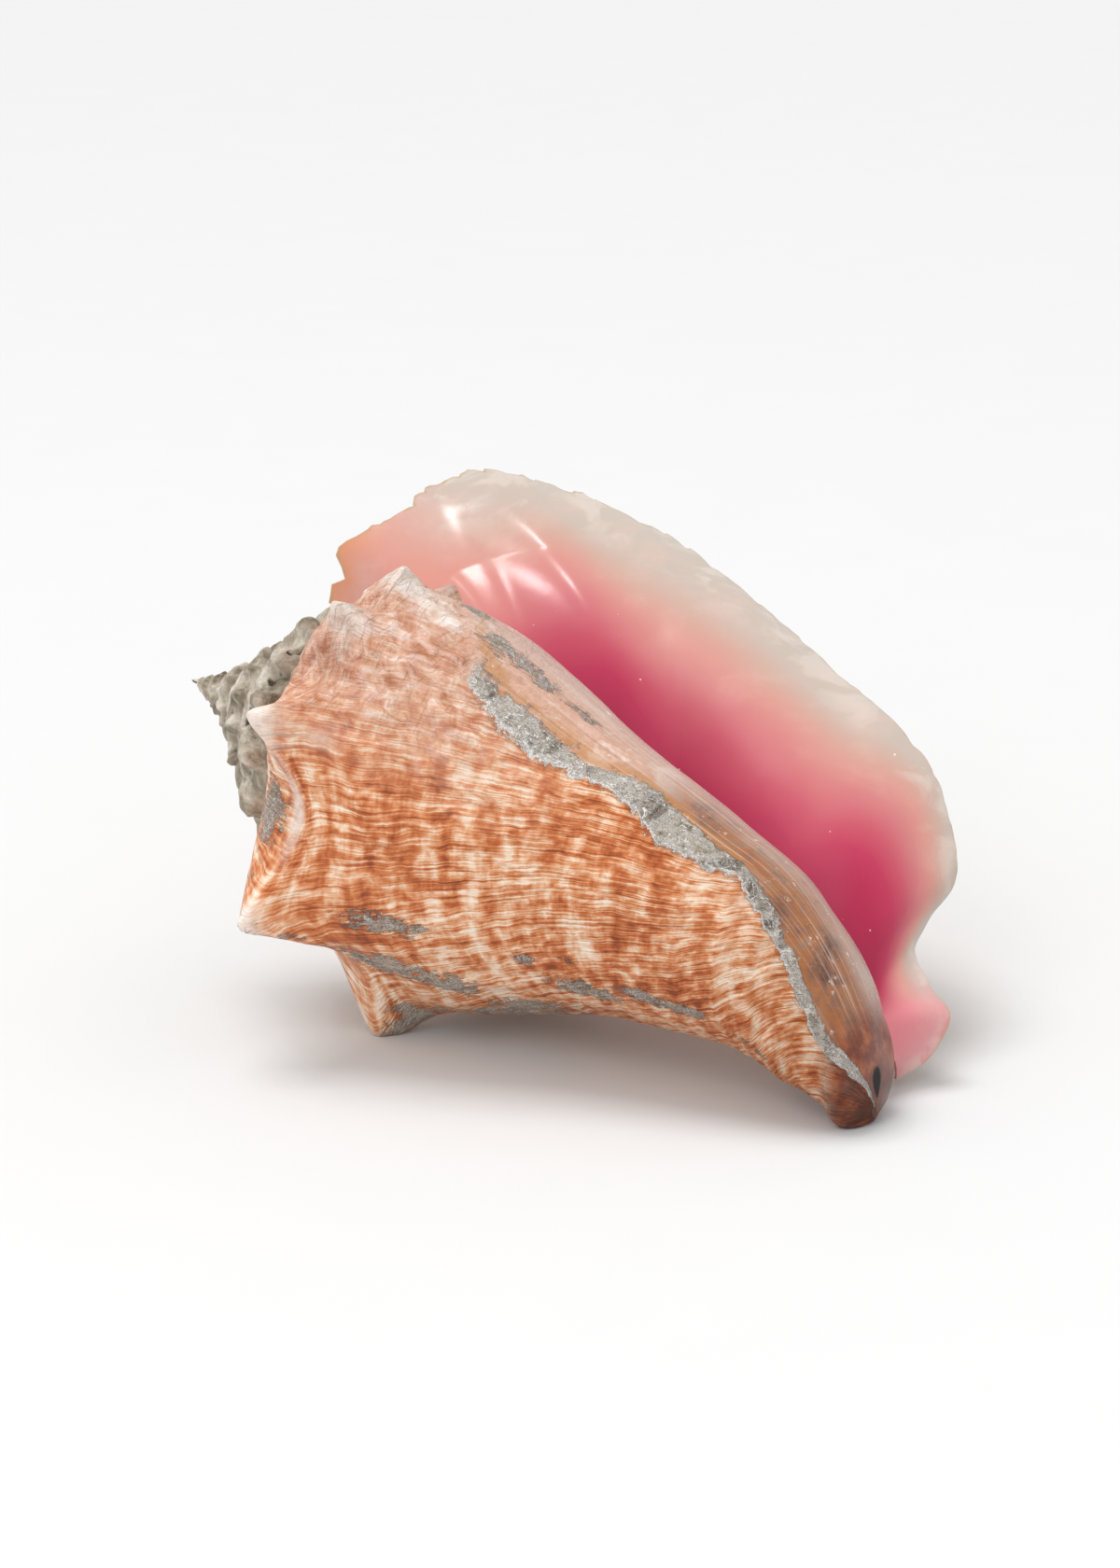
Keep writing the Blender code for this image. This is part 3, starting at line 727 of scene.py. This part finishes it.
class Shader:
    """Short ways to add nodes to one material."""

    def __init__(self, name):
        self.material = bpy.data.materials.new(name)
        self.material.use_nodes = True
        self.tree = self.material.node_tree
        self.surface = self.tree.nodes["Principled BSDF"]

    def add(self, kind, *inputs, **settings):
        """Adds a node with its first inputs and settings, and returns its first output."""
        node = self.tree.nodes.new(kind)
        for key, value in settings.items():
            setattr(node, key, value)
        for socket, value in zip(node.inputs, inputs):
            self.feed(socket, value)
        return node.outputs[0]

    def feed(self, socket, value):
        """Links another node's output to the socket, or sets it to a plain value."""
        if isinstance(value, bpy.types.NodeSocket):
            self.tree.links.new(value, socket)
        else:
            socket.default_value = value

    def value(self, name):
        """A named value of the mesh."""
        node = self.tree.nodes.new("ShaderNodeAttribute")
        node.attribute_name = name
        return node.outputs["Fac"]

    def math(self, operation, a, b=0.0):
        return self.add("ShaderNodeMath", a, b, operation=operation)

    def times(self, a, b):
        return self.math("MULTIPLY", a, b)

    def plus(self, a, b):
        return self.math("ADD", a, b)

    def minus(self, a, b):
        return self.math("SUBTRACT", a, b)

    def most(self, a, b):
        return self.math("MAXIMUM", a, b)

    def grain(self, course, fine, across, bands):
        """A place for noise that runs with the growth: fine steps along it and bands across it."""
        return self.add("ShaderNodeCombineXYZ", self.times(course, fine), self.times(across, bands))

    def here(self):
        """The place in the piece's own frame."""
        node = self.tree.nodes.new("ShaderNodeTexCoord")
        return node.outputs["Object"]

    def noise(self, where, size, detail=3.0, roughness=0.55, distortion=0.0, kind="FBM"):
        node = self.tree.nodes.new("ShaderNodeTexNoise")
        node.noise_type = kind
        self.feed(node.inputs["Vector"], where)
        self.feed(node.inputs["Scale"], size)
        self.feed(node.inputs["Detail"], detail)
        self.feed(node.inputs["Roughness"], roughness)
        self.feed(node.inputs["Distortion"], distortion)
        return node.outputs["Fac"]

    def step(self, value, low, high, bottom=0.0, top=1.0):
        """From bottom to top, smoothly, as the value goes from low to high."""
        node = self.tree.nodes.new("ShaderNodeMapRange")
        node.interpolation_type = "SMOOTHSTEP"
        for socket, given in zip(node.inputs, (value, low, high, bottom, top)):
            self.feed(socket, given)
        return node.outputs["Result"]

    def ramp(self, value, stops):
        """A colour ramp from (position, colour) stops."""
        node = self.tree.nodes.new("ShaderNodeValToRGB")
        self.feed(node.inputs["Fac"], value)
        elements = node.color_ramp.elements
        while len(elements) < len(stops):
            elements.new(0.5)
        for element, (position, colour) in zip(elements, stops):
            element.position = position
            element.color = paint(colour)
        return node.outputs["Color"]

    def mix(self, share, a, b):
        """From colour a at share 0 to colour b at 1."""
        node = self.tree.nodes.new("ShaderNodeMix")
        node.data_type = "RGBA"
        self.feed(node.inputs[0], share)
        self.feed(node.inputs[6], paint(a) if isinstance(a, str) else a)
        self.feed(node.inputs[7], paint(b) if isinstance(b, str) else b)
        return node.outputs[2]

    def bump(self, height, distance, normal=None):
        node = self.tree.nodes.new("ShaderNodeBump")
        node.inputs["Strength"].default_value = 1.0
        node.inputs["Distance"].default_value = distance
        self.feed(node.inputs["Height"], height)
        if normal is not None:
            self.feed(node.inputs["Normal"], normal)
        return node.outputs["Normal"]

    def finish(self, **inputs):
        """Feeds the surface's inputs, named with _ for spaces, and returns the material."""
        for name, given in inputs.items():
            self.feed(self.surface.inputs[name.replace("_", " ")], given)
        return self.material


def paint(code):
    """Linear colour from a hex code."""
    parts = [int(code[i:i + 2], 16) / 255.0 for i in (1, 3, 5)]
    return tuple(p / 12.92 if p <= 0.04045 else ((p + 0.055) / 1.055)**2.4 for p in parts) + (1.0,)


def crust_colour(s, here, fibres):
    """Grey scab with white threads, and the height of its threads."""
    wide = s.math("ABSOLUTE", s.minus(s.noise(here, 260.0, 2.0, 0.5, 1.5), 0.5))
    narrow = s.math("ABSOLUTE", s.minus(s.noise(here, 480.0, 2.0, 0.5, 1.0), 0.5))
    threads = s.most(s.step(wide, 0.035, 0.008), s.step(narrow, 0.030, 0.005, 0.0, 0.7))
    base = s.ramp(s.noise(here, 150.0, 6.0, 0.75, 0.5), CRUST_COLOURS)
    base = s.mix(s.step(fibres, 0.46, 0.34, 0.0, 0.60), base, "#5A4F43")
    return s.mix(threads, base, "#F4EFE7"), threads


def glaze_colour(s, here, growth, across, past):
    """Thin see-through glaze over the old surface: mauve brown, amber near the canal, scratched, and paler
    grey-beige towards the aperture's edge, partly its own grey tone and partly a painted sheen.
    """
    blotch = s.noise(here, 85.0, 5.0, 0.66, 0.25)
    base = s.mix(s.step(across, 0.60, 0.74), s.ramp(blotch, UPPER_GLAZE), s.ramp(blotch, LOWER_GLAZE))
    # Partly painted sheen: towards the aperture's edge the glaze turns paler grey-beige, its own grey tone
    # lightened as by a soft sheen.
    edge = s.mix(blotch, "#A07F74", "#D6BFB4")
    base = s.mix(s.times(s.step(growth, 34.0, 4.0), 0.75), base, edge)
    ochre = s.times(s.step(past, -9.0, -3.5), s.step(past, 1.0, -2.0))
    ochre = s.times(ochre, s.step(across, 0.88, 0.70))
    base = s.mix(s.times(ochre, 0.65), base, "#B67C3C")
    streak = s.noise(s.grain(growth, 0.42, across, 4.5), 1.0, 5.0, 0.65, 0.3)
    base = s.mix(s.step(streak, 0.52, 0.70, 0.0, 0.45), base, "#E6D4CA")
    base = s.mix(s.step(streak, 0.46, 0.32, 0.0, 0.35), base, "#7C5340")
    flecks = s.noise(here, 420.0, 5.0, 0.75)
    return s.mix(s.step(flecks, 0.60, 0.70, 0.0, 0.65), base, "#F2EBE4")


def growth_pattern(s, here, line, across, brown):
    """Cream crossed by wavy rust lines, broken into bands and blocks: colour, relief, finest lines."""
    sway = s.times(s.noise(here, 48.0, 2.0, 0.5), 7.0)
    sway = s.plus(sway, s.times(s.noise(here, 240.0, 2.0, 0.5), 1.6))
    bent = s.plus(line, sway)
    total = s.minus(s.times(brown, BROWN_STRENGTH), PATTERN_LEVEL)
    layers = []
    for course, row in [(bent, row) for row in LAYERS] + [(line, BARS)]:
        fine, bands, detail, distortion, strength = row
        layer = s.noise(s.grain(course, fine, across, bands), 1.0, detail, 0.6, distortion)
        layers.append(layer)
        total = s.plus(total, s.times(layer, strength))
    total = s.plus(total, s.times(s.noise(here, 30.0, 3.0, 0.55), DRIFT_STRENGTH))
    _, medium, hair = layers[:3]
    relief = s.plus(s.times(medium, 0.7), s.times(hair, 0.4))
    return s.ramp(total, BODY_COLOURS), relief, hair


def young_part(s, here, growth, across, colour, hair):
    """The pink young part, with painted light and shade on its ripples and folds, and the worn tips:
    colour, ripple, folds and where it is pink.
    """
    pink = s.times(s.step(across, 0.62, 0.34), s.step(growth, 106.0, 66.0))
    ripple = s.noise(s.grain(growth, 0.20, across, 38.0), 1.0, 4.0, 0.65, 0.8)
    # Partly painted light and shade: the pink is paler on the ripples' raised ridges and darker between
    # them, over the pink's own tones.
    colour = s.mix(s.times(pink, 0.70), colour, s.ramp(ripple, PINK_AND_RIDGE_SHADE_COLOURS))
    worn = s.plus(s.value("chalk"), s.minus(hair, 0.5))
    chalk = s.ramp(s.noise(here, 160.0, 5.0, 0.65), CHALK_COLOURS)
    colour = s.mix(s.step(worn, 0.25, 0.85, 0.0, 0.85), colour, chalk)
    folds = s.noise(s.grain(growth, 0.09, across, 52.0), 1.0, 2.0, 0.5, 0.5)
    folds = s.step(s.math("ABSOLUTE", s.minus(folds, 0.5)), 0.10, 0.0)
    folds = s.times(s.times(folds, pink), s.step(across, 0.16, 0.24))
    # Painted shade: the thin fold lines are darkened brown, as shade lying in their grooves.
    return s.mix(s.times(folds, 0.18), colour, "#A96F52"), ripple, folds, pink


def canal_tip(s, here, growth, across, colour):
    """The dark tip of the canal with its small opening, which is painted as a near-black spot of shade:
    colour, tip and opening.
    """
    end = s.step(across, 0.935, 0.975)
    tail = s.ramp(s.noise(here, 200.0, 4.0, 0.6), CANAL_COLOURS)
    colour = s.mix(s.times(end, 0.9), colour, tail)
    around = s.times(s.minus(growth, HOLE_GROWTH), HOLE_TIGHT_GROWTH)
    along = s.times(s.minus(across, HOLE_V), HOLE_TIGHT_V)
    # Painted shade: the opening is a near-black spot standing for the shade inside it.
    opening_shade = s.step(s.plus(s.times(around, around), s.times(along, along)), 1.2, 0.5)
    return s.mix(opening_shade, colour, "#1B120E"), end, opening_shade


def outside_material():
    """The patterned body, its pink young part, worn tips, glaze, crust and the dark canal tip."""
    s = Shader("shell_outside")
    here = s.here()
    growth = s.value("growth")
    across = s.value("across")
    line = s.value("line")
    past = s.value("past")
    patch = s.value("patch")
    colour, relief, hair = growth_pattern(s, here, line, across, s.value("brown"))
    colour, ripple, folds, pink = young_part(s, here, growth, across, colour, hair)

    # The glaze with its frilly edge, the back of the lip and the canal
    tatter = s.minus(s.noise(here, 260.0, 5.0, 0.7, 0.6), 0.5)
    inside = s.plus(s.value("inside"), s.times(tatter, 16.0))
    blur = s.step(across, 0.44, 0.38, 0.4, 8.0)
    glaze = s.step(inside, s.times(blur, -1.0), blur)
    under = s.times(s.step(inside, -2.2, -0.2, 0.0, 0.5), s.step(across, 0.40, 0.44))
    colour = s.mix(under, colour, "#8A4A22")
    colour = s.mix(s.times(glaze, 0.94), colour, glaze_colour(s, here, growth, across, past))
    colour = s.mix(s.times(s.step(s.value("rim"), 0.0, 0.25), 0.5), colour, "#EBD6C2")
    colour, end, opening_shade = canal_tip(s, here, growth, across, colour)

    # The crust, in a band along the glaze's edge and in patches
    fibres = s.noise(s.grain(line, 1.5, across, 34.0), 1.0, 4.0, 0.7, 1.2)
    band = s.step(s.plus(past, s.times(tatter, -20.0)), -1.5, 1.0)
    band = s.times(s.times(band, glaze), s.step(across, 0.415, 0.432))
    uneven = s.plus(s.times(s.minus(fibres, 0.5), 2.2), s.times(tatter, 2.4))
    torn = s.plus(patch, s.times(uneven, s.step(patch, 0.04, 0.30)))
    covered = s.most(band, s.times(s.step(torn, 0.42, 0.60), 0.88))
    scab, threads = crust_colour(s, here, fibres)
    scab = s.mix(s.times(s.step(inside, 2.4, 0.6), band), scab, "#F4F2EE")
    scab = s.mix(s.step(band, 1.0, 0.0, 0.0, 0.30), scab, "#5E5246")
    colour = s.mix(covered, colour, scab)

    # Gloss and fine relief
    gloss = s.step(s.most(glaze, end), 0.2, 0.9, 0.42, 0.17)
    gloss = s.most(gloss, s.times(s.most(covered, opening_shade), 0.75))
    bare = s.minus(1.0, s.times(glaze, 0.8))
    relief = s.minus(s.times(relief, bare), s.times(folds, 0.25))
    relief = s.plus(relief, s.times(s.times(ripple, pink), 1.4))
    normal = s.bump(relief, 0.0008)
    normal = s.bump(s.times(s.plus(threads, fibres), covered), 0.0006, normal)
    normal = s.bump(s.noise(here, 700.0, 4.0, 0.6), 0.00008, normal)
    return s.finish(Base_Color=colour, Roughness=gloss, Normal=normal, Specular_IOR_Level=0.5)


def spire_material():
    """Chalky, worn and pitted."""
    s = Shader("shell_spire")
    here = s.here()
    base = s.ramp(s.noise(here, 130.0, 5.0, 0.65, 0.5), SPIRE_COLOURS)
    colour = s.mix(s.step(s.value("pit"), 0.1, 0.8), base, "#453B30")
    coarse = s.noise(here, 260.0, 4.0, 0.6, 1.0, "RIDGED_MULTIFRACTAL")
    normal = s.bump(coarse, 0.0006)
    normal = s.bump(s.noise(here, 620.0, 6.0, 0.7, 0.4), 0.0005, normal)
    return s.finish(Base_Color=colour, Roughness=0.85, Normal=normal)


def inside_material():
    """Glossy: magenta deep inside, through pink and salmon to a pale grey rim."""
    s = Shader("shell_inside")
    here = s.here()
    reach = s.value("reach")
    across = s.value("across")

    # The main ramp, moved towards the rim at the ear and where the red reaches far down
    sway = s.noise(here, 26.0, 3.0, 0.5)
    place_in = s.plus(reach, s.times(s.minus(sway, 0.5), 0.16))
    red = s.times(s.step(across, 0.64, 0.76), s.step(across, 0.88, 0.82))
    shift = s.plus(s.step(across, 0.36, 0.22, 0.0, 0.11), s.times(red, 0.20))
    place_in = s.minus(place_in, shift)
    colour = s.ramp(place_in, LIP_COLOURS)

    # The salmon ear and the pink tongue by the canal
    corner = s.times(s.step(across, 0.22, 0.04), s.step(reach, 0.2, 0.6))
    colour = s.mix(s.times(corner, 0.85), colour, "#D68E80")
    tongue = s.step(across, 0.86, 0.91)
    colour = s.mix(s.times(tongue, 0.8), colour, "#DF868F")
    tan = s.times(tongue, s.step(reach, 0.86, 0.98))
    colour = s.mix(s.times(tan, 0.6), colour, "#C39A78")

    # Pale clouds, the amber and worn edge, and small specks
    cloud = s.step(s.noise(here, 55.0, 4.0, 0.6), 0.48, 0.72, 0.0, 0.35)
    colour = s.mix(s.times(cloud, s.step(place_in, 0.35, 0.60)), colour, "#D9B5AA")
    milky = s.times(s.step(s.noise(here, 75.0, 4.0, 0.6, 0.6), 0.47, 0.62), s.step(reach, 0.66, 0.86))
    milky = s.times(milky, s.step(across, 0.10, 0.18))
    colour = s.mix(s.times(milky, 0.4), colour, "#DDD0C6")
    amber = s.times(s.step(across, 0.10, 0.03), s.step(reach, 0.82, 1.0))
    colour = s.mix(s.times(amber, 0.7), colour, "#D98F5C")
    worn = s.plus(reach, s.times(s.minus(s.noise(here, 300.0, 4.0, 0.7), 0.5), 0.06))
    colour = s.mix(s.step(worn, 0.967, 0.992, 0.0, 0.85), colour, "#B79668")
    specks = s.noise(here, 520.0, 1.0, 0.4)
    colour = s.mix(s.step(specks, 0.80, 0.84, 0.0, 0.7), colour, "#F7DCD8")

    normal = s.bump(s.noise(here, 34.0, 2.0, 0.5), 0.00012)
    normal = s.bump(s.noise(here, 300.0, 3.0, 0.5), 0.00002, normal)
    gloss = s.step(across, 0.33, 0.45, 0.16, 0.40)
    return s.finish(Base_Color=colour, Roughness=gloss, Normal=normal, Specular_IOR_Level=0.5)


def make_floor():
    """A plain pale floor."""
    mesh = bpy.data.meshes.new("floor")
    corners = [(-1, -1), (1, -1), (1, 1), (-1, 1)]
    mesh.from_pydata([(FLOOR_HALF * x, FLOOR_HALF * y, 0.0) for x, y in corners], [], [(0, 1, 2, 3)])
    s = Shader("floor")
    colour = s.mix(s.noise(s.here(), 30.0, 2.0), *FLOOR_TONES)
    mesh.materials.append(s.finish(Base_Color=colour, Roughness=0.9, Specular_IOR_Level=0.1))
    floor = bpy.data.objects.new("floor", mesh)
    bpy.context.collection.objects.link(floor)


def make_light(name, kind, at, glossy=True, **settings):
    """A light at a place, turned to the shell. glossy says whether its own reflection shows."""
    data = bpy.data.lights.new(name, kind)
    for key, value in settings.items():
        setattr(data, key, value)
    lamp = bpy.data.objects.new(name, data)
    lamp.location = at
    lamp.rotation_mode = "QUATERNION"
    lamp.rotation_quaternion = (Vector(AIM) - Vector(at)).to_track_quat("-Z", "Y")
    lamp.visible_glossy = glossy
    bpy.context.collection.objects.link(lamp)


def make_lights():
    """A white surround, a wide soft sun, a weak fill and two small lights for the lip's highlights."""
    world = bpy.data.worlds.new("studio")
    bpy.context.scene.world = world
    world.use_nodes = True
    background = world.node_tree.nodes["Background"]
    background.inputs["Color"].default_value = WHITE
    background.inputs["Strength"].default_value = SKY
    make_light("key", "SUN", KEY_AT, glossy=False, energy=KEY_ENERGY, angle=math.radians(KEY_SPREAD))
    make_light("fill", "AREA", FILL_AT, glossy=False, energy=FILL_ENERGY, size=FILL_SIZE)
    for name, at, energy in REFLECTIONS:
        make_light(name, "AREA", at, energy=energy, size=REFLECTION_SIZE)


def make_camera():
    """The photo's view."""
    data = bpy.data.cameras.new("camera")
    data.lens = CAMERA_LENS
    data.sensor_width = SENSOR
    data.clip_start = 0.01
    camera = bpy.data.objects.new("camera", data)
    azimuth = math.radians(CAMERA_AZIMUTH)
    fall = math.radians(CAMERA_FALL)
    level = math.cos(fall)
    towards = Vector((-math.sin(azimuth) * level, math.cos(azimuth) * level, -math.sin(fall)))
    camera.location = CAMERA_AT
    camera.rotation_mode = "QUATERNION"
    camera.rotation_quaternion = towards.to_track_quat("-Z", "Y")
    bpy.context.collection.objects.link(camera)
    bpy.context.scene.camera = camera


make_camera()
make_lights()
make_floor()
make_outside(outside_material())
make_spire(spire_material())
make_inside(inside_material())
bpy.context.scene.view_settings.view_transform = "Standard"
